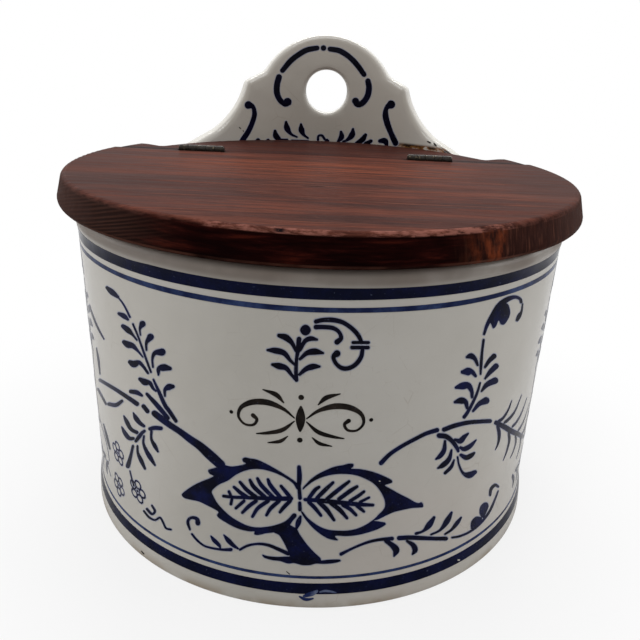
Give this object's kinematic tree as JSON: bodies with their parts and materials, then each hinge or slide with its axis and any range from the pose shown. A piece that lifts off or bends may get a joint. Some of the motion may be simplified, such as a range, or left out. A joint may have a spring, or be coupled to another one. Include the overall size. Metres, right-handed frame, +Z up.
{
  "type": "salt box",
  "caption": "Round glazed wall salt box with a pierced hanging crest and a two-board wooden lid whose front board opens upwards on butt hinges.",
  "frame": {"origin": "centre of the pot's underside", "axes": "+Z up, -Y to the front, +X to the right of someone facing the front"},
  "size_m": [0.1708, 0.16, 0.1541],
  "materials": {
    "glaze": "gloss glaze, fine crazing, blue underglaze pattern",
    "wood": "red-brown stained hardwood, worn satin",
    "hinge_brass": "dull, oxidised",
    "screw_metal": "dull steel",
    "washer_brass": "dull brass"
  },
  "bodies": {
    "body": {"pot": "glaze", "hinge_rail": "wood", "left_hinge_rail_leaf": "hinge_brass", "right_hinge_rail_leaf": "hinge_brass", "left_hinge_pin": "hinge_brass", "right_hinge_pin": "hinge_brass", "rail_leaf_screws": "screw_metal", "rail_fixing_screws": "screw_metal", "rail_fixing_washers": "washer_brass"},
    "lid": {"lid_flap": "wood", "left_hinge_flap_leaf": "hinge_brass", "right_hinge_flap_leaf": "hinge_brass", "flap_leaf_screws": "screw_metal"}
  },
  "joints": [
    {"name": "lid_hinge", "type": "hinge", "parent": "body", "child": "lid", "pos_m": [0, 0.032, 0.1117], "axis": [-1, 0, 0], "range_deg": [0, 133]}
  ]
}
